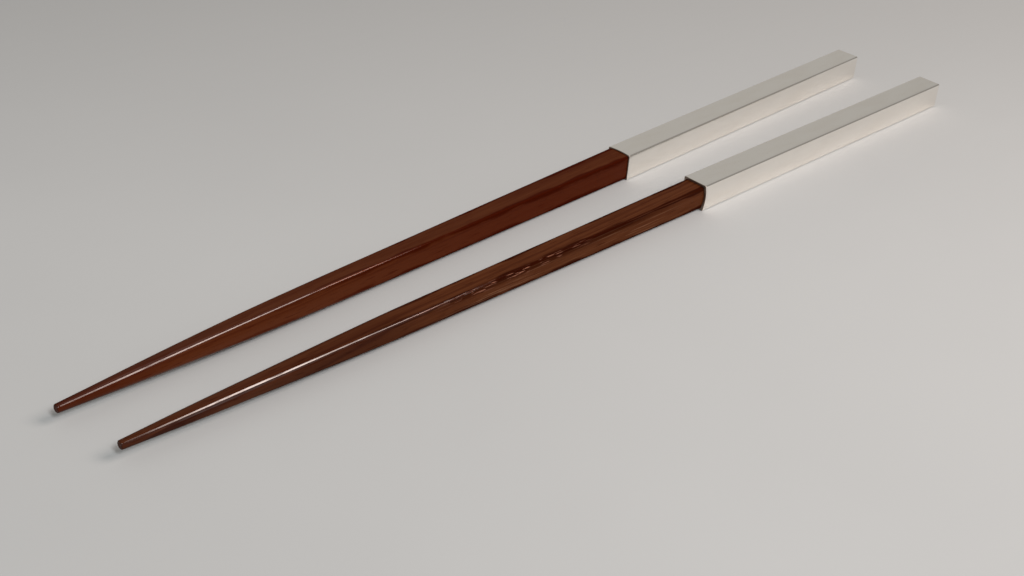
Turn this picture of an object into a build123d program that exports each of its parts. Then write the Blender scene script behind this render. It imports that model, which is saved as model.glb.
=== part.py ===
from build123d import *
import math
import os

# A pair of table chopsticks. Each stick is a planed hardwood shaft, square where it is held and round
# at the tip, whose thick end is glued into a square silver sleeve that is closed at the butt.
# The pair lies on a flat surface at z = 0, on the undersides of the sleeves, tips towards -X.
# All lengths are in millimetres.

# One stick
total_length = 230.0
sleeve_length = 91.0

# Silver sleeves: alike outside, with walls that differ a little, and each shaft fills its own
sleeve_width = 6.0
front_sleeve_wall = 0.48
rear_sleeve_wall = 0.25
sleeve_butt_thickness = 0.8
sleeve_edge_radius = 0.35
sleeve_butt_radius = 0.3
sleeve_rim_radius = 0.12

# Joint between the sleeve and the wood
glue_line = 0.05
shaft_edge_radius = 0.25

# Wooden tip
tip_width = 1.6
tip_end_radius = 0.2

# Winding of each planed blade from the sleeve to the tip, in degrees; the two wind opposite ways
front_winding = 8.0
rear_winding = 12.5

# How the pair lies: distances between the two axes, and how far the rear stick lies ahead
tip_spacing = 14.4
butt_spacing = 22.6
stagger = 2.6

# Sizes that follow from those above
exposed_length = total_length - sleeve_length
bore_depth = sleeve_length - sleeve_butt_thickness
bore_corner_radius = shaft_edge_radius + glue_line
tenon_length = bore_depth - glue_line
axis_height = sleeve_width / 2
half_splay = math.degrees(math.asin((butt_spacing - tip_spacing) / 2 / total_length))

# The taper of the exposed wood, at even steps from the tip to the sleeve. Each row gives the growth from
# the tip's width to the full width, and the roundness of the corners, which is 1 for a section that is
# nearly a circle and 0 for corners of the planed edge's radius.
taper_shares = (
    (0.000, 1.00),
    (0.350, 0.58),
    (0.580, 0.24),
    (0.690, 0.09),
    (0.745, 0.04),
    (0.805, 0.02),
    (0.870, 0.01),
    (0.935, 0.00),
    (1.000, 0.00),
)
round_corner_share = 0.96


def section(width, corner_radius, x, turn=0):
    """A square with rounded corners, across the stick at x from the tip and turned about its axis."""
    return Plane.YZ.offset(x) * RectangleRounded(width, width, corner_radius, turn)


def taper_section(shaft_width, winding, step, width_share, round_share):
    """The exposed wood's section at one step of the taper."""
    way = step / (len(taper_shares) - 1)
    width = tip_width + width_share * (shaft_width - tip_width)
    full_round = round_corner_share * width / 2
    corner_radius = shaft_edge_radius + round_share * (full_round - shaft_edge_radius)
    return section(width, corner_radius, exposed_length * way, winding * (1 - way))


def end_edges(solid, x):
    """The edges that lie in the plane across the stick at x."""
    return solid.edges().filter_by_position(Axis.X, x, x)


def make_shaft(shaft_width, winding):
    """Wooden shaft along +X from its tip: a tapered blade and the square tenon inside the sleeve."""
    blade = loft([taper_section(shaft_width, winding, step, *row) for step, row in enumerate(taper_shares)])
    blade = fillet(end_edges(blade, 0), tip_end_radius)
    tenon = extrude(section(shaft_width, shaft_edge_radius, exposed_length), tenon_length)
    return blade + tenon


def make_sleeve(bore_width):
    """Silver sleeve along +X: a square tube, open at its rim and closed at the butt."""
    tube = extrude(section(sleeve_width, sleeve_edge_radius, exposed_length), sleeve_length)
    tube = fillet(end_edges(tube, total_length), sleeve_butt_radius)
    tube = fillet(end_edges(tube, exposed_length), sleeve_rim_radius)
    return tube - extrude(section(bore_width, bore_corner_radius, exposed_length), bore_depth)


def lay(solid, side):
    """Lays a piece of one stick beside the pair's midline: side is -1 for the front, 1 for the rear."""
    midline_start = -total_length / 2 - max(side, 0) * stagger
    tip = Location((midline_start, side * tip_spacing / 2, axis_height))
    return tip * Rotation(0, 0, side * half_splay) * solid


def make_pair():
    """The four pieces by name, with the middle of the pair's footprint at the origin."""
    pieces = {}
    sticks = (("front", -1, front_sleeve_wall, front_winding), ("rear", 1, rear_sleeve_wall, rear_winding))
    for stick, side, wall, winding in sticks:
        bore_width = sleeve_width - 2 * wall
        pieces[f"{stick}_shaft"] = lay(make_shaft(bore_width - 2 * glue_line, -side * winding), side)
        pieces[f"{stick}_sleeve"] = lay(make_sleeve(bore_width), side)
    centre = Compound(list(pieces.values())).bounding_box().center()
    to_middle = Location((-centre.X, -centre.Y, 0))
    return {name: to_middle * piece for name, piece in pieces.items()}


os.makedirs("parts", exist_ok=True)
for name, piece in make_pair().items():
    export_step(piece, f"parts/{name}.step")
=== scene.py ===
import math

import bpy
import numpy as np
from mathutils import Euler, Matrix, Vector, noise


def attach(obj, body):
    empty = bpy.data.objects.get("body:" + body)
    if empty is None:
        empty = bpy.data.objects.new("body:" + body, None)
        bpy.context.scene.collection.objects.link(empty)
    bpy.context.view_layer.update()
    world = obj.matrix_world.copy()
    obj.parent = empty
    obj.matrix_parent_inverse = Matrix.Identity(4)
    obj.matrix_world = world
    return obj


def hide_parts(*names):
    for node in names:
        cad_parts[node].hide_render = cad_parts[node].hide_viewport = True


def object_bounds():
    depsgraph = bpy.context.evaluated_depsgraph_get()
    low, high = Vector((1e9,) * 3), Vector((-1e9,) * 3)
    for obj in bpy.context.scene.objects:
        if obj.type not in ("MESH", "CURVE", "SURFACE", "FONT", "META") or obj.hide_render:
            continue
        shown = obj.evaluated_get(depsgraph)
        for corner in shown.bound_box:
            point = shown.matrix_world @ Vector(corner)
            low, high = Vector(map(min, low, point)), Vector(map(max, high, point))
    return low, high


# A pair of table chopsticks on a pale table: planed hardwood shafts with polished silver sleeves.
# Each piece is modelled along +X from its own tip, in millimetres, and then laid where the solids lie.

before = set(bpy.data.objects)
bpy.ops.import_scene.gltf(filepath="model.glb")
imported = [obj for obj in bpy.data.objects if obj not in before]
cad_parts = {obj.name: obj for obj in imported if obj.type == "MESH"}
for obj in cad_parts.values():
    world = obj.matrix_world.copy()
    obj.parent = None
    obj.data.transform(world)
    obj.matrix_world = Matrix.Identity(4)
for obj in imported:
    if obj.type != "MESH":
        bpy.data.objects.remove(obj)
cad_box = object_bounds()

MM = 0.001

# One stick, as in the solids
total_length = 230.0
sleeve_length = 91.0
sleeve_width = 6.0
sleeve_walls = {"front": 0.48, "rear": 0.25}
sleeve_butt_thickness = 0.8
sleeve_edge_radius = 0.35
sleeve_butt_radius = 0.3
sleeve_rim_radius = 0.12
glue_line = 0.05
shaft_edge_radius = 0.25
tip_width = 1.6
tip_end_radius = 0.2
windings = {"front": math.radians(8.0), "rear": math.radians(-12.5)}
exposed_length = total_length - sleeve_length
bore_end = total_length - sleeve_butt_thickness
bore_corner_radius = shaft_edge_radius + glue_line
tenon_end = bore_end - glue_line

# The taper of the exposed wood, at even steps from the tip to the sleeve: the growth from the tip's width
# to the full width, and the roundness of the corners.
width_shares = (0.0, 0.35, 0.58, 0.69, 0.745, 0.805, 0.87, 0.935, 1.0)
round_shares = (1.0, 0.58, 0.24, 0.09, 0.04, 0.02, 0.01, 0.0, 0.0)
round_corner_share = 0.96

# How the pair lies
tip_spacing = 14.4
butt_spacing = 22.6
stagger = 2.6
half_splay = math.asin((butt_spacing - tip_spacing) / 2 / total_length)

# Fineness of the meshes
corner_steps = 9
flat_steps = 12
fillet_steps = 6
blade_steps = 420
tenon_steps = 12
wall_steps = 130
cap_shares = (0.04, 0.35, 0.7)
sharp_angle = math.radians(40)

# The map for baking: its margin, the blade's number of rows, and each kind of row's share of the height
map_margin = 0.006
blade_rows = 3
blade_row_weight = 3
wall_row_weight = 4
hidden_row_weight = 1

# Handwork: how far the planed wood and the polished silver wander from the true faces. A pair of places is
# the stretch along the stick over which the work sets in or dies away. The sink keeps ripples and waves
# mostly below the true faces.
noise_sink = 0.5
noise_seed_step = 10.0
plane_mark_depth = 0.018
plane_mark_length = 16.0
plane_mark_spread = 1.4
plane_mark_start = (0.5, 8.0)
plane_mark_end = (exposed_length - 3.0, exposed_length - 0.2)
ripple_depth = 0.1
ripple_length = 1.9
ripple_width = 0.6
ripple_start = (58.0, 72.0)
ripple_end = (106.0, 120.0)
ripple_sides = (0.6, 0.95)
hand_rounding = {"front": 0.3, "rear": 0.0}
rounding_start = (8.0, 28.0)
rounding_end = (36.0, 60.0)
polish_wave_depth = 0.004
polish_wave_length = 14.0
polish_wave_spread = 1.2
rim_hollows = {"front": ((-1, 0), 0.45), "rear": ((0, 1), 0.25)}


def section_pattern():
    """For each point round a rounded square: its corner, or the way between two, and its outward side."""
    corners, outwards = [], []
    for quarter in range(4):
        start = quarter * math.pi / 2
        here = math.sqrt(2) * np.array((math.cos(start + math.pi / 4), math.sin(start + math.pi / 4)))
        ahead = np.array((-here[1], here[0]))
        for step in range(corner_steps):
            angle = start + step / corner_steps * math.pi / 2
            corners.append(here)
            outwards.append((math.cos(angle), math.sin(angle)))
        for step in range(flat_steps):
            corners.append(here + step / flat_steps * (ahead - here))
            outwards.append((math.cos(start + math.pi / 2), math.sin(start + math.pi / 2)))
    return np.array(corners), np.array(outwards)


section_corners, section_outwards = section_pattern()
points_round = len(section_corners)


def ring(x, half_width, corner_radius):
    """One section across the stick at x, as points in stick coordinates."""
    across = (half_width - corner_radius) * section_corners + corner_radius * section_outwards
    return np.column_stack((np.full(points_round, x), across))


def smooth_share(shares, x):
    """A share at x on the exposed wood, by a smooth curve through the steps of the taper."""
    place = min(max(x / exposed_length, 0), 1) * (len(shares) - 1)
    step = min(int(place), len(shares) - 2)
    t = place - step
    here, ahead = shares[step], shares[step + 1]
    before = shares[step - 1] if step > 0 else 2 * here - ahead
    after = shares[step + 2] if step + 2 < len(shares) else 2 * ahead - here
    slope_here = (ahead - before) / 2
    slope_ahead = (after - here) / 2
    return (
        here * (1 + 2 * t) * (1 - t) ** 2
        + slope_here * t * (1 - t) ** 2
        + ahead * t**2 * (3 - 2 * t)
        - slope_ahead * t**2 * (1 - t)
    )


def between(low, high, value):
    """0 below low, 1 above high and smooth in between."""
    t = min(max((value - low) / (high - low), 0), 1)
    return t * t * (3 - 2 * t)


def stretch_share(start, end, x):
    """1 between two places along the stick, set in over the start and dying away over the end."""
    return between(*start, x) * (1 - between(*end, x))


def wood_section(x, shaft_width, rounding=0.0):
    """Half the width and the corner radius of the wood at x, with its corners rubbed rounder near the tip."""
    half_width = (tip_width + smooth_share(width_shares, x) * (shaft_width - tip_width)) / 2
    full_round = round_corner_share * half_width
    roundness = smooth_share(round_shares, x) + rounding * stretch_share(rounding_start, rounding_end, x)
    return half_width, shaft_edge_radius + roundness * (full_round - shaft_edge_radius)


def cap_rings(x, half_width, corner_radius):
    """Rings that close an end, from its middle outwards."""
    return [ring(x, share * half_width, share * corner_radius) for share in cap_shares]


def fillet_places(radius):
    """Steps round a quarter fillet from an end face: the way in from the end, and the inset from the side."""
    angles = np.linspace(0, math.pi / 2, fillet_steps + 1)
    return [(radius * (1 - math.cos(angle)), radius * (1 - math.sin(angle))) for angle in angles]


def work_wood(rings, seed, rippled):
    """Plane marks on the blade, and on a rippled stick torn grain beside the ridge between top and front."""
    worked = []
    ridge_side = section_outwards @ np.array((-1, 1)) / math.sqrt(2)
    for points in rings:
        x = points[0, 0]
        planed = stretch_share(plane_mark_start, plane_mark_end, x)
        torn = stretch_share(ripple_start, ripple_end, x)
        moved = points.copy()
        for index, outward in enumerate(section_outwards):
            y, z = plane_mark_spread * outward
            depth = planed * plane_mark_depth * noise.noise(Vector((x / plane_mark_length, y, z + seed)))
            if rippled:
                y, z = points[index, 1:] / ripple_width
                ripple = noise.noise(Vector((x / ripple_length, y, z + seed))) - noise_sink
                depth += torn * between(*ripple_sides, ridge_side[index]) * ripple_depth * ripple
            moved[index, 1:] += depth * outward
        worked.append(moved)
    return worked


def wind(rings, winding):
    """Turns each section of the blade about the axis, most at the tip and not at all at the sleeve."""
    for points in rings:
        angle = winding * max(1 - points[0, 0] / exposed_length, 0)
        turn = np.array(((math.cos(angle), math.sin(angle)), (-math.sin(angle), math.cos(angle))))
        points[:, 1:] = points[:, 1:] @ turn
    return rings


def shaft_rings(shaft_width, winding, seed, rippled, rounding):
    """The wooden shaft from the middle of its tip to the middle of its hidden end, and its map's bands."""
    tip_half, tip_corner = wood_section(0, shaft_width)
    rings = cap_rings(0, tip_half - tip_end_radius, tip_corner - tip_end_radius)
    for x, inset in fillet_places(tip_end_radius):
        half_width, corner_radius = wood_section(x, shaft_width)
        rings.append(ring(x, half_width - inset, corner_radius - inset))
    for x in np.linspace(tip_end_radius, exposed_length, blade_steps + 1)[1:]:
        rings.append(ring(x, *wood_section(x, shaft_width, rounding)))
    joint = len(rings) - 1
    for x in np.linspace(exposed_length, tenon_end, tenon_steps + 1)[1:]:
        rings.append(ring(x, shaft_width / 2, shaft_edge_radius))
    rings += cap_rings(tenon_end, shaft_width / 2, shaft_edge_radius)[::-1]
    row_ends = [round(joint * row / blade_rows) for row in range(blade_rows + 1)]
    bands = [(start, end, blade_row_weight) for start, end in zip(row_ends, row_ends[1:])]
    bands.append((joint, len(rings) - 1, hidden_row_weight))
    return wind(work_wood(rings, seed, rippled), winding), bands


def work_silver(rings, seed):
    """Soft waves that polishing leaves on the outer faces."""
    for points in rings:
        for index, outward in enumerate(section_outwards):
            y, z = polish_wave_spread * outward
            wave = noise.noise(Vector((points[index, 0] / polish_wave_length, y + seed, z))) - noise_sink
            points[index, 1:] += polish_wave_depth * wave * outward


def hollow_rim(rings, side, depth):
    """Files one side of the rim back: by the depth in the middle of that side, and not at its corners."""
    for points in rings:
        half_width = np.abs(points[:, 1:]).max()
        outward = points[:, 1:] @ np.array(side)
        sideways = points[:, 1:] @ np.array((-side[1], side[0])) / (half_width - sleeve_edge_radius)
        points[:, 0] += depth * np.maximum(1 - sideways**2, 0) * (outward > 0)


def sleeve_rings(bore_width, seed, hollow_side, hollow_depth):
    """The silver sleeve from its bore's end round the rim to the middle of its butt, and its map's bands."""
    half_width = sleeve_width / 2
    rings = cap_rings(bore_end, bore_width / 2, bore_corner_radius)
    for x in np.linspace(bore_end, exposed_length, tenon_steps + 1):
        rings.append(ring(x, bore_width / 2, bore_corner_radius))
    rim = len(rings) - 1
    for way_in, inset in fillet_places(sleeve_rim_radius):
        rings.append(ring(exposed_length + way_in, half_width - inset, sleeve_edge_radius - inset))
    wall_start = len(rings) - 1
    wall = np.linspace(exposed_length + sleeve_rim_radius, total_length - sleeve_butt_radius, wall_steps + 1)
    for x in wall[1:-1]:
        rings.append(ring(x, half_width, sleeve_edge_radius))
    wall_end = len(rings)
    for way_in, inset in fillet_places(sleeve_butt_radius)[::-1]:
        rings.append(ring(total_length - way_in, half_width - inset, sleeve_edge_radius - inset))
    butt_half = half_width - sleeve_butt_radius
    rings += cap_rings(total_length, butt_half, sleeve_edge_radius - sleeve_butt_radius)[::-1]
    hollow_rim(rings[rim : wall_start + 1], hollow_side, hollow_depth)
    work_silver(rings[wall_start:wall_end], seed)
    middle = (rim + len(rings)) // 2
    row_ends = (rim, middle, len(rings) - 1)
    bands = [(0, rim, hidden_row_weight)]
    bands += [(start, end, wall_row_weight) for start, end in zip(row_ends, row_ends[1:])]
    return rings, bands


def lay_map(mesh, rings, bands):
    """A map for baking: each band of rings is a row of its own, its length across and its girth upwards."""
    middles = np.array([points.mean(0)[0] for points in rings])
    girths = np.array([np.abs(points[:, 1:]).max() for points in rings])
    way = np.concatenate(([0], np.cumsum(np.hypot(np.diff(middles), np.diff(girths)))))
    total = sum(weight for _, _, weight in bands)
    corners = []
    row_start = 0
    for first, last, weight in bands:
        row_height = weight / total
        shares = (way[first : last + 1] - way[first]) / (way[last] - way[first])
        across = map_margin + shares * (1 - 2 * map_margin)
        turns = np.arange(points_round + 1) / points_round
        upward = row_start + map_margin + turns * (row_height - 2 * map_margin)
        for step in range(last - first):
            for point in range(points_round):
                corners += [
                    (across[step], upward[point]),
                    (across[step], upward[point + 1]),
                    (across[step + 1], upward[point + 1]),
                    (across[step + 1], upward[point]),
                ]
        if first == 0:
            near_side = map_margin / 2
            for point in range(points_round):
                middle = (upward[point] + upward[point + 1]) / 2
                corners += [(near_side, middle), (across[0], upward[point + 1]), (across[0], upward[point])]
        if last == len(rings) - 1:
            far_side = 1 - map_margin / 2
            for point in range(points_round):
                middle = (upward[point] + upward[point + 1]) / 2
                corners += [(far_side, middle), (across[-1], upward[point]), (across[-1], upward[point + 1])]
        row_start += row_height
    layer = mesh.uv_layers.new(name="OFBake")
    layer.data.foreach_set("uv", np.array(corners, np.float32).ravel())


def make_piece(name, rings, bands, material, place):
    """A closed mesh through the rings, laid in its place."""
    points = np.concatenate(rings) * MM
    near_middle = len(points)
    ends = np.array((rings[0].mean(0), rings[-1].mean(0))) * MM
    faces = []
    for first, last, _ in bands:
        for step in range(first, last):
            for point in range(points_round):
                beside = (point + 1) % points_round
                here, ahead = step * points_round, (step + 1) * points_round
                faces.append((here + point, here + beside, ahead + beside, ahead + point))
        if first == 0:
            for point in range(points_round):
                faces.append((near_middle, (point + 1) % points_round, point))
        if last == len(rings) - 1:
            start = last * points_round
            for point in range(points_round):
                faces.append((near_middle + 1, start + point, start + (point + 1) % points_round))
    mesh = bpy.data.meshes.new(name)
    mesh.from_pydata(np.concatenate((points, ends)).tolist(), [], faces)
    lay_map(mesh, rings, bands)
    mesh.shade_smooth()
    mesh.set_sharp_from_angle(angle=sharp_angle)
    mesh.materials.append(material)
    piece = bpy.data.objects.new(name, mesh)
    piece.matrix_world = place
    bpy.context.scene.collection.objects.link(piece)
    weighted = piece.modifiers.new("face_weighted_normals", "WEIGHTED_NORMAL")
    weighted.keep_sharp = True
    return piece


class Shader:
    """A material's node tree, filled node by node."""

    def __init__(self, name):
        self.material = bpy.data.materials.new(name)
        self.material.use_nodes = True
        self.tree = self.material.node_tree
        self.surface = self.tree.nodes["Principled BSDF"]

    def feed(self, socket, value):
        """Links a socket, or sets it to a value."""
        if isinstance(value, bpy.types.NodeSocket):
            self.tree.links.new(value, socket)
        else:
            socket.default_value = value

    def add(self, kind, output, inputs, **settings):
        """A node with its settings and inputs; returns one of its outputs."""
        node = self.tree.nodes.new(kind)
        for setting, value in settings.items():
            setattr(node, setting, value)
        for key, value in inputs.items():
            self.feed(node.inputs[key], value)
        return node.outputs[output]

    def place(self):
        """The place on the piece, in millimetres from its tip along its own axis."""
        own = self.add("ShaderNodeTexCoord", "Object", {})
        return self.add("ShaderNodeVectorMath", 0, {0: own, "Scale": 1 / MM}, operation="SCALE")

    def stretch(self, vector, factors):
        """The vector times the factors, axis by axis."""
        return self.add("ShaderNodeVectorMath", 0, {0: vector, 1: factors}, operation="MULTIPLY")

    def shift(self, vector, by):
        """The sum of two vectors."""
        return self.add("ShaderNodeVectorMath", 0, {0: vector, 1: by}, operation="ADD")

    def parts(self, vector):
        """The three numbers of a vector."""
        return self.add("ShaderNodeSeparateXYZ", 0, {0: vector}).node.outputs

    def math(self, operation, *numbers):
        """A calculation with one, two or three numbers."""
        return self.add("ShaderNodeMath", 0, dict(enumerate(numbers)), operation=operation)

    def product(self, first, *others):
        """Numbers multiplied together."""
        for other in others:
            first = self.math("MULTIPLY", first, other)
        return first

    def grain(self, vector, kind, output="Fac"):
        """Noise of a kind: its patches along the stick and across it, its detail and its roughness."""
        along, across, detail, roughness = kind
        stretched = self.stretch(vector, (along, across, across))
        inputs = {"Vector": stretched, "Scale": 1.0, "Detail": detail, "Roughness": roughness}
        return self.add("ShaderNodeTexNoise", output, inputs)

    def stripes(self, along, detail, roughness):
        """Noise that changes with one number alone."""
        inputs = {"W": along, "Scale": 1.0, "Detail": detail, "Roughness": roughness}
        return self.add("ShaderNodeTexNoise", "Fac", inputs, noise_dimensions="1D")

    def remap(self, value, low, high, to_low=0.0, to_high=1.0):
        """The value moved smoothly from one range to another."""
        inputs = {"Value": value, "From Min": low, "From Max": high, "To Min": to_low, "To Max": to_high}
        return self.add("ShaderNodeMapRange", 0, inputs, interpolation_type="SMOOTHSTEP")

    def fall(self, value, low, high):
        """1 below low, 0 above high and smooth in between."""
        return self.remap(value, low, high, 1.0, 0.0)

    def course(self, value, stops):
        """A number that moves smoothly from stop to stop, each a value and its result."""
        result = stops[0][1]
        for (low, start), (high, end) in zip(stops, stops[1:]):
            result = self.math("ADD", result, self.remap(value, low, high, 0.0, end - start))
        return result

    def mix(self, share, first, second):
        """Two colours mixed."""
        node = self.tree.nodes.new("ShaderNodeMix")
        node.data_type = "RGBA"
        colour_inputs = [socket for socket in node.inputs if socket.type == "RGBA"]
        self.feed(node.inputs[0], share)
        self.feed(colour_inputs[0], first)
        self.feed(colour_inputs[1], second)
        return next(socket for socket in node.outputs if socket.type == "RGBA")

    def bump(self, height, depth, normal=None):
        """A bump of a height from 0 to 1, so many millimetres deep, on top of another where one is given."""
        inputs = {"Height": height, "Distance": depth * MM, "Strength": 1.0}
        if normal is not None:
            inputs["Normal"] = normal
        return self.add("ShaderNodeBump", 0, inputs)

    def finish(self, **sockets):
        """Feeds the surface and returns the material."""
        for key, value in sockets.items():
            self.feed(self.surface.inputs[key.replace("_", " ")], value)
        return self.material


# Kinds of noise: patches to the millimetre along the stick and across it, then the detail and its roughness
sway_noise = (0.018, 0.11, 3.0, 0.55)
strand_noise = (0.05, 1.7, 2.0, 0.55)
fibre_noise = (0.07, 4.5, 3.0, 0.6)
pore_noise = (0.22, 5.0, 1.0, 0.5)
wander_noise = (0.09, 0.4, 2.0, 0.5)
shine_noise = (0.35, 1.2, 2.0, 0.5)
lacquer_noise = (0.03, 0.5, 2.0, 0.5)
torn_strand_noise = (0.05, 3.6, 2.0, 0.6)
dash_noise = (0.3, 4.2, 1.0, 0.5)
wiping_noise = (0.25, 9.0, 3.0, 0.65)
tarnish_noise = (0.09, 0.3, 3.0, 0.55)
table_cloud_noise = (0.006, 0.006, 4.0, 0.55)
table_wiping_noise = (0.02, 0.12, 4.0, 0.6)
table_grain_noise = (0.8, 0.8, 3.0, 0.6)

# The middle of such noise, and the range that it mostly keeps to
noise_middle = 0.5
noise_range = (0.3, 0.7)

# Growth rings of the wood, and what they and the finer fibres add to its grain
wood_seed_step = 37.0
sway_width = 2.6
rings_per_mm = 0.8
ring_detail = 4.0
ring_roughness = 0.6
ring_weight = 0.45
fibre_weight = 0.25
strand_weight = 0.3

# Levels of the noise between which one look of the wood gives way to the next
light_levels = (0.35, 0.65)
pore_levels = (0.6, 0.72)
painted_highlight_levels = (0.4, 0.6)
shine_levels = (0.35, 0.6)
torn_strand_levels = (0.58, 0.66)
dash_levels = (0.56, 0.61)
streak_softness = 0.1

# Places round the section: nearness to an edge from 0 to 1, and turns towards the front and the top
painted_dark_ridge_edge = (0.6, 0.85)
painted_dark_ridge_wander = (-0.18, 0.16)
painted_highlight_edge = (0.91, 0.98)
shine_edge = (0.45, 0.72)
shine_softness = 0.23
front_face = (0.7, 1.0)
torn_face = (0.8, 0.95)
torn_ridge = (0.1, 0.6)

# Stretches along the stick, in millimetres from the tip, over which the wood's looks change
front_colour_change = (45.0, 115.0)
painted_dark_ridge_rise = (45.0, 75.0)
painted_highlight_start = (48.0, 58.0)
painted_highlight_end = (70.0, 82.0)
shine_narrowing = (10.0, 45.0)
tip_gloss_fading = (15.0, 60.0)
tear_start = (58.0, 74.0)
tear_end = (116.0, 138.0)
dash_end = (90.0, 108.0)

# Clusters of torn grain, by a wave: their spacing, the middle of the first, and the heights where one sets in
tear_spacing = 8.8
first_tear = 67.0
tear_wave_heights = (-0.8, -0.2)

# Strengths of the looks: a pair is the least and the most, or the one at the tip and the one further on
painted_dark_ridge_strength = (0.5, 0.9)
ring_streak_strength = (0.2, 0.6)
painted_highlight_strength = (0.3, 0.85)
pore_strength = 0.5
torn_strand_strength = 0.6
painted_dark_torn_ridge_strength = 0.68
painted_glint_strength = 0.85
shine_strength = (0.7, 1.0)
face_gloss = (0.09, 0.05)
pore_gloss_loss = 0.5
wood_roughness = (0.32, 0.44)
pore_roughness = 0.2

# Silver: the rim is what faces the tip, painted dark as a reflection and made rougher; wiping leaves streaks
# and tarnish leaves dull clouds
rim_facing = (-0.4, -0.08)
painted_rim_reflection_strength = 0.85
rim_roughness = 0.4
wiping_levels = (0.35, 0.7)
wiping_roughness = (0.05, 0.1)
tarnish_levels = (0.35, 0.7)
dull_levels = (0.4, 0.7)
dull_roughness = 0.04

# Table: how far behind the pair a place lies, by its x and y, and the way over which painted shade darkens
# the top
behind_by_x = 0.5
behind_by_y = 0.6
behind_reach = (-20.0, 130.0)
table_roughness = (0.54, 0.66)

# Depths of the finest relief
pore_depth = 0.02
fibre_depth = 0.008
dash_height = 0.08
wiping_depth = 0.0004
table_grain_depth = 0.006

# Colours of the painted edge highlight, of torn wood and its painted glints, of the silver with its painted
# dark rim, and of the table with its painted shade
painted_highlight_colour = (0.23, 0.078, 0.045, 1)
torn_strand = (0.19, 0.088, 0.047, 1)
painted_glint_colour = (0.29, 0.122, 0.078, 1)
bright_silver = (0.95, 0.915, 0.862, 1)
tarnished_silver = (0.93, 0.885, 0.825, 1)
painted_rim_reflection = (0.13, 0.078, 0.047, 1)
table_grey = (0.463, 0.482, 0.49, 1)
table_light = (0.485, 0.505, 0.513, 1)
painted_table_shade = (0.4, 0.415, 0.42, 1)


def growth_rings(wood, own, place, heart, drift, phase):
    """Noise in rings about the tree's heart, which runs past the stick at a slant."""
    sway = wood.shift(wood.grain(place, sway_noise, "Color"), (-noise_middle,) * 3)
    swayed = wood.parts(wood.shift(own, wood.stretch(sway, (0.0, sway_width, sway_width))))
    along = wood.parts(own)[0]
    squares = []
    for axis, start, slope in ((1, heart[0], drift[0]), (2, heart[1], drift[1])):
        line = wood.math("MULTIPLY_ADD", along, slope, start)
        away = wood.math("SUBTRACT", swayed[axis], line)
        squares.append(wood.product(away, away))
    radius = wood.math("SQRT", wood.math("ADD", *squares))
    return wood.stripes(wood.math("MULTIPLY_ADD", radius, rings_per_mm, phase), ring_detail, ring_roughness)


def section_shares(wood, own, winding):
    """Where a point lies round the wound section: towards the front and the top, and how near to an edge."""
    unwind = {"Value": wood.parts(own)[0], "From Max": exposed_length, "To Min": -winding, "To Max": 0.0}
    angle = wood.add("ShaderNodeMapRange", 0, unwind)
    straight = wood.add("ShaderNodeVectorRotate", 0, {"Vector": own, "Angle": angle}, rotation_type="X_AXIS")
    _, across, up = wood.parts(straight)
    sides = [wood.math("ABSOLUTE", number) for number in (across, up)]
    larger = wood.math("MAXIMUM", *sides)
    front = wood.math("DIVIDE", wood.product(across, -1.0), larger)
    top = wood.math("DIVIDE", up, larger)
    return front, top, wood.math("DIVIDE", wood.math("MINIMUM", *sides), larger)


def ground_colour(wood, along, on_front, grain, colours, front_share):
    """The ground and its lighter fibres, under a colour of the front face that changes along the stick."""
    _, middle, light, front_tip, front_grip = colours
    ground = wood.mix(wood.remap(grain, *light_levels), middle, light)
    front_colour = wood.mix(wood.remap(along, *front_colour_change), front_tip, front_grip)
    return wood.mix(wood.product(on_front, front_share), ground, front_colour)


def painted_dark_ridge(wood, place, along, corner):
    """A painted dark reflection that wanders along each edge, strongest towards the grip."""
    wander = wood.remap(wood.grain(place, wander_noise), *noise_range, *painted_dark_ridge_wander)
    streak = wood.remap(wood.math("ADD", corner, wander), *painted_dark_ridge_edge)
    return wood.product(streak, wood.remap(along, *painted_dark_ridge_rise, *painted_dark_ridge_strength))


def painted_edge_highlight(wood, along, corner, strands):
    """A painted pale highlight on the edges, uneven, where the shine of the tip ends."""
    stretch = wood.product(wood.remap(along, *painted_highlight_start), wood.fall(along, *painted_highlight_end))
    uneven = wood.remap(strands, *painted_highlight_levels, *painted_highlight_strength)
    return wood.product(stretch, wood.remap(corner, *painted_highlight_edge), uneven)


def torn_grain(wood, place, along, front, top):
    """Torn fibres on the front face: pale strands, short raised dashes near the ridge with painted glints,
    and a painted dark reflection beside the ridge.
    """
    reach = wood.product(wood.remap(along, *tear_start), wood.fall(along, *tear_end))
    zone = wood.product(reach, wood.remap(front, *torn_face))
    pale = wood.product(zone, wood.remap(wood.grain(place, torn_strand_noise), *torn_strand_levels))
    near_ridge = wood.product(zone, wood.remap(top, *torn_ridge))
    turns = 2 * math.pi / tear_spacing
    wave = wood.math("COSINE", wood.math("MULTIPLY_ADD", along, turns, -turns * first_tear))
    clusters = wood.remap(wave, *tear_wave_heights)
    broken = wood.remap(wood.grain(place, dash_noise), *dash_levels)
    dashes = wood.product(near_ridge, broken, clusters, wood.fall(along, *dash_end))
    return pale, dashes, near_ridge


def face_shade(wood, along, on_front, top_shade, front_shade):
    """How far the wood darkens along the stick: one course for the front face, where it is painted shade, and
    one for the others.
    """
    front, others = (wood.course(along, stops) for stops in (front_shade, top_shade))
    return wood.math("MULTIPLY_ADD", on_front, wood.math("SUBTRACT", front, others), others)


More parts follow.
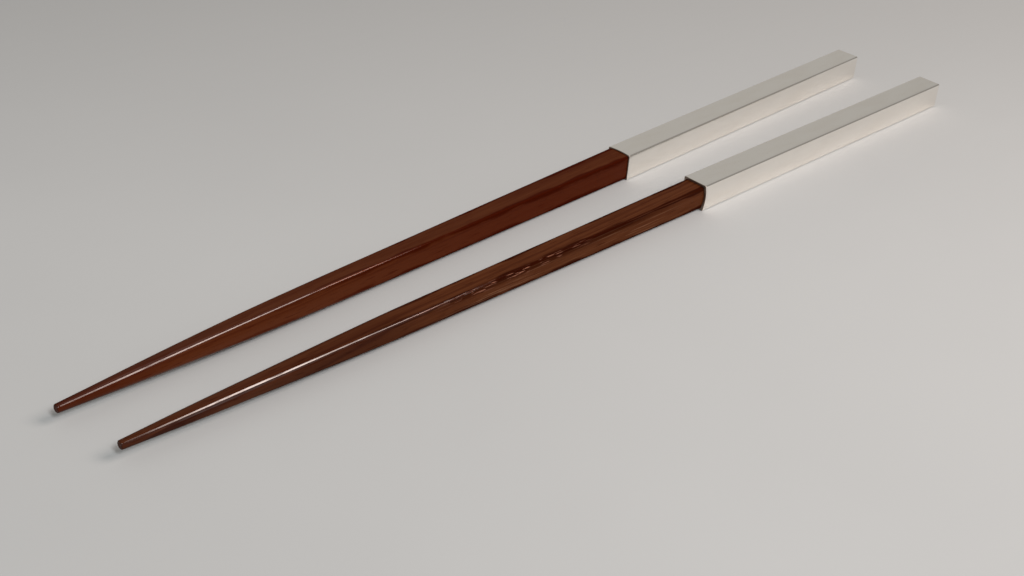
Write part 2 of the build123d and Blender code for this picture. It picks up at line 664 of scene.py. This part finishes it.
def lacquer(wood, place, along, corner, pores, painted_dark_edges, ridge_gloss):
    """The lacquer's weight: strong along edges near the tip, slight on the faces, none under the painted dark
    edges.
    """
    reach = wood.remap(along, *shine_narrowing, *shine_edge)
    shine = wood.remap(corner, reach, wood.math("ADD", reach, shine_softness))
    uneven = wood.remap(wood.grain(place, shine_noise), *shine_levels, *shine_strength)
    shine = wood.product(shine, wood.course(along, ridge_gloss), uneven)
    faces = wood.remap(along, *tip_gloss_fading, *face_gloss)
    faces = wood.product(faces, wood.math("SUBTRACT", 1.0, painted_dark_edges))
    gloss = wood.math("MAXIMUM", shine, faces)
    return wood.product(gloss, wood.math("MULTIPLY_ADD", pores, -pore_gloss_loss, 1.0))


def wood_material(
    name,
    winding,
    heart,
    drift,
    phase,
    colours,
    front_share,
    top_shade,
    front_shade,
    streak_low,
    ridge_gloss,
    torn,
    seed,
):
    """Red-brown hardwood: growth rings, dark streaks, fibres and pores under lacquer, with painted dark
    reflections and a painted pale highlight along its edges and painted shade on the front face.
    """
    dark = colours[0]
    wood = Shader(name)
    own = wood.place()
    place = wood.shift(own, (seed * wood_seed_step, 0, 0))
    along = wood.parts(own)[0]
    front, top, corner = section_shares(wood, own, winding)
    on_front = wood.remap(front, *front_face)
    rings = growth_rings(wood, own, place, heart, drift, phase)
    strands = wood.grain(place, strand_noise)
    fibres = wood.grain(place, fibre_noise)
    pores = wood.remap(wood.grain(place, pore_noise), *pore_levels)
    fine = wood.math("ADD", wood.product(fibres, fibre_weight), wood.product(strands, strand_weight))
    grain = wood.math("MULTIPLY_ADD", rings, ring_weight, fine)
    colour = ground_colour(wood, along, on_front, grain, colours, front_share)
    streak = wood.fall(rings, streak_low, streak_low + streak_softness)
    streak = wood.product(streak, wood.remap(front, *front_face, *ring_streak_strength))
    colour = wood.mix(streak, colour, dark)
    colour = wood.mix(wood.product(pores, pore_strength), colour, dark)
    # Painted dark reflection along the edges, which also takes the lacquer off them
    painted_dark_edges = painted_dark_ridge(wood, place, along, corner)
    colour = wood.mix(painted_dark_edges, colour, dark)
    # Painted pale highlight along the edges
    colour = wood.mix(painted_edge_highlight(wood, along, corner, strands), colour, painted_highlight_colour)
    normal = wood.bump(wood.math("SUBTRACT", 1.0, pores), pore_depth)
    normal = wood.bump(fibres, fibre_depth, normal)
    if torn:
        pale, dashes, near_ridge = torn_grain(wood, place, along, front, top)
        colour = wood.mix(wood.product(pale, torn_strand_strength), colour, torn_strand)
        # Painted dark reflection beside the ridge, then painted glints on the raised dashes
        colour = wood.mix(wood.product(near_ridge, painted_dark_torn_ridge_strength), colour, dark)
        colour = wood.mix(wood.product(dashes, painted_glint_strength), colour, painted_glint_colour)
        normal = wood.bump(dashes, dash_height, normal)
        painted_dark_edges = wood.math("MAXIMUM", painted_dark_edges, near_ridge)
    # Darker towards the tip; on the front face this darkening is painted shade
    colour = wood.mix(face_shade(wood, along, on_front, top_shade, front_shade), colour, dark)
    broad = wood.remap(wood.grain(place, lacquer_noise), *noise_range, *wood_roughness)
    return wood.finish(
        Base_Color=colour,
        Roughness=wood.math("MULTIPLY_ADD", pores, pore_roughness, broad),
        Normal=normal,
        Specular_IOR_Level=0.005,
        Coat_Weight=lacquer(wood, place, along, corner, pores, painted_dark_edges, ridge_gloss),
        Coat_Roughness=0.07,
        Coat_IOR=2.0,
    )


def silver_material(name):
    """Polished silver with fine wiping marks, a little tarnish and a painted dark reflection on the rim that
    faces the tip.
    """
    silver = Shader(name)
    place = silver.place()
    facing = silver.parts(silver.add("ShaderNodeTexCoord", "Normal", {}))[0]
    marks = silver.grain(place, wiping_noise)
    cloud = silver.grain(place, tarnish_noise)
    # Painted dark reflection on the rim that faces the tip
    rim = silver.remap(facing, *rim_facing, painted_rim_reflection_strength, 0.0)
    colour = silver.mix(silver.remap(cloud, *tarnish_levels), bright_silver, tarnished_silver)
    wiped = silver.remap(marks, *wiping_levels, *wiping_roughness)
    dulled = silver.remap(cloud, *dull_levels, 0.0, dull_roughness)
    roughness = silver.math("ADD", wiped, dulled)
    return silver.finish(
        Base_Color=silver.mix(rim, colour, painted_rim_reflection),
        Metallic=1.0,
        Roughness=silver.math("MULTIPLY_ADD", rim, rim_roughness, roughness),
        Normal=silver.bump(marks, wiping_depth),
    )


def table_material():
    """A pale, dull table top, with painted shade that darkens it a little behind the pair."""
    top = Shader("table_top")
    place = top.place()
    x, y, _ = top.parts(place)
    cloud = top.grain(place, table_cloud_noise)
    colour = top.mix(top.remap(cloud, *noise_range), table_grey, table_light)
    behind = top.math("MULTIPLY_ADD", y, behind_by_y, top.product(x, behind_by_x))
    wiped = top.grain(place, table_wiping_noise)
    return top.finish(
        # Painted shade behind the pair
        Base_Color=top.mix(top.remap(behind, *behind_reach), colour, painted_table_shade),
        Roughness=top.remap(wiped, *noise_range, *table_roughness),
        Normal=top.bump(top.grain(place, table_grain_noise), table_grain_depth),
        Specular_IOR_Level=0.15,
    )


def stick_place(side):
    """Where a stick lies: side is -1 for the front one and 1 for the rear one."""
    start = -total_length / 2 - max(side, 0) * stagger
    place = Matrix.Translation(Vector((start, side * tip_spacing / 2, sleeve_width / 2)) * MM)
    return place @ Matrix.Rotation(side * half_splay, 4, "Z")


def to_middle():
    """The way that brings the pair to the solids' middle: from the rear tip to the box's lowest corner."""
    rear_tip = stick_place(1).translation
    tip_corner = math.sin(half_splay) * (tip_width / 2 - tip_end_radius) * MM
    return Matrix.Translation((cad_box[0].x - (rear_tip.x - tip_corner), 0, 0))


# Wood colours: dark streaks, the ground, the lighter fibres, and the front face towards the tip and the grip
front_colours = (
    (0.021, 0.0024, 0.0004, 1),
    (0.058, 0.0136, 0.0034, 1),
    (0.09, 0.0278, 0.0092, 1),
    (0.07, 0.0174, 0.0046, 1),
    (0.08, 0.0229, 0.0069, 1),
)
rear_colours = (
    (0.037, 0.0033, 0.0004, 1),
    (0.058, 0.0114, 0.0021, 1),
    (0.078, 0.0202, 0.0057, 1),
    (0.081, 0.0195, 0.006, 1),
    (0.066, 0.0088, 0.0011, 1),
)

# The shine along each stick's edges, as places from the tip and the weight of the lacquer there
front_gloss = ((4.0, 0.3), (18.0, 0.95), (34.0, 1.0), (47.0, 0.65), (58.0, 0.5), (68.0, 0.16), (80.0, 0.0))
rear_gloss = ((4.0, 0.35), (16.0, 0.55), (36.0, 0.65), (46.0, 0.45), (58.0, 0.3), (70.0, 0.1), (80.0, 0.0))

woods = {
    "front": wood_material(
        "front_wood",
        windings["front"],
        heart=(9.0, 5.0),
        drift=(0.024, 0.006),
        phase=7.3,
        colours=front_colours,
        front_share=0.3,
        top_shade=((4.0, 0.4), (50.0, 0.4), (66.0, 0.06)),
        front_shade=((4.0, 0.4), (18.0, 0.3), (32.0, 0.42), (50.0, 0.42), (64.0, 0.0)),
        streak_low=0.33,
        ridge_gloss=front_gloss,
        torn=True,
        seed=1,
    ),
    "rear": wood_material(
        "rear_wood",
        windings["rear"],
        heart=(1.5, -15.0),
        drift=(0.004, 0.012),
        phase=0.0,
        colours=rear_colours,
        front_share=0.75,
        top_shade=((6.0, 0.5), (16.0, 0.42), (26.0, 0.15), (36.0, 0.0)),
        front_shade=((6.0, 0.5), (14.0, 0.3), (24.0, 0.0)),
        streak_low=0.27,
        ridge_gloss=rear_gloss,
        torn=False,
        seed=2,
    ),
}
silver = silver_material("polished_silver")

# The two sticks
for number, (stick, side) in enumerate((("front", -1), ("rear", 1)), start=1):
    place = to_middle() @ stick_place(side)
    seed = number * noise_seed_step
    bore_width = sleeve_width - 2 * sleeve_walls[stick]
    shaft_width = bore_width - 2 * glue_line
    shaft_form = shaft_rings(shaft_width, windings[stick], seed, stick == "front", hand_rounding[stick])
    shaft = make_piece(f"{stick}_wood", *shaft_form, woods[stick], place)
    sleeve_form = sleeve_rings(bore_width, seed, *rim_hollows[stick])
    sleeve = make_piece(f"{stick}_silver", *sleeve_form, silver, place)
    for piece, node, slot in ((shaft, f"{stick}_shaft", "wood"), (sleeve, f"{stick}_sleeve", "silver")):
        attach(piece, "root")
        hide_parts(node)

# Table
table_half_size = 6.0
table_gap = 0.02 * MM
table_corners = [
    (x * table_half_size, y * table_half_size, -table_gap) for x, y in ((-1, -1), (1, -1), (1, 1), (-1, 1))
]
table_mesh = bpy.data.meshes.new("table")
table_mesh.from_pydata(table_corners, [], [(0, 1, 2, 3)])
table_mesh.materials.append(table_material())
table = bpy.data.objects.new("table", table_mesh)
bpy.context.scene.collection.objects.link(table)


def lamp(name, place, facing, width, height, power, colour):
    """A soft rectangular lamp, its width level."""
    light = bpy.data.lights.new(name, "AREA")
    light.shape = "RECTANGLE"
    light.size = width
    light.size_y = height
    light.energy = power
    light.color = colour
    holder = bpy.data.objects.new(name, light)
    holder.location = place
    holder.rotation_mode = "QUATERNION"
    holder.rotation_quaternion = Vector(facing).to_track_quat("-Z", "Y")
    bpy.context.scene.collection.objects.link(holder)


# Lamps: a broad warm one that the wood's ridges mirror, and a smaller white one from the front
lamp(
    "strip",
    place=(0.36, -0.45, 0.6),
    facing=(0, 0.6, -0.8),
    width=0.46,
    height=0.4,
    power=4.6,
    colour=(1.0, 0.84, 0.76),
)
lamp(
    "key",
    place=(-0.24, -0.57, 0.59),
    facing=(0.24, 0.57, -0.59),
    width=0.16,
    height=0.16,
    power=3.2,
    colour=(1.0, 1.0, 1.0),
)

# The room: pale all round, with a dim doorway that the ridges mirror
room_light = 0.42
room_colour = (1.0, 0.97, 0.92, 1)
doorway_light = 0.26
doorway_direction = (0.78, -0.405, 0.458)
doorway_edge = (0.6, 0.9)
world = bpy.data.worlds.new("room")
world.use_nodes = True
bpy.context.scene.world = world
room = world.node_tree
direction = room.nodes.new("ShaderNodeTexCoord").outputs["Generated"]
facing = room.nodes.new("ShaderNodeVectorMath")
facing.operation = "DOT_PRODUCT"
facing.inputs[1].default_value = Vector(doorway_direction).normalized()
room.links.new(direction, facing.inputs[0])
fade = room.nodes.new("ShaderNodeMapRange")
fade.interpolation_type = "SMOOTHSTEP"
ends = (*doorway_edge, room_light, doorway_light)
for key, value in zip(("From Min", "From Max", "To Min", "To Max"), ends):
    fade.inputs[key].default_value = value
room.links.new(facing.outputs["Value"], fade.inputs["Value"])
wall = room.nodes["Background"]
wall.inputs["Color"].default_value = room_colour
room.links.new(fade.outputs[0], wall.inputs["Strength"])

# Camera, fitted to the photograph
image_width = 1024
focal_pixels = 1500
sensor_width = 36
camera_place = (-0.2092, -0.17434, 0.15125)
camera_turns = (58.173, -4.179, -44.956)
nearest_view = 0.01
camera_data = bpy.data.cameras.new("camera")
camera_data.sensor_width = sensor_width
camera_data.lens = focal_pixels / image_width * sensor_width
camera_data.clip_start = nearest_view
camera = bpy.data.objects.new("camera", camera_data)
camera.location = camera_place
camera.rotation_euler = Euler([math.radians(turn) for turn in camera_turns])
bpy.context.scene.collection.objects.link(camera)
bpy.context.scene.camera = camera
bpy.context.scene.view_settings.view_transform = "Standard"
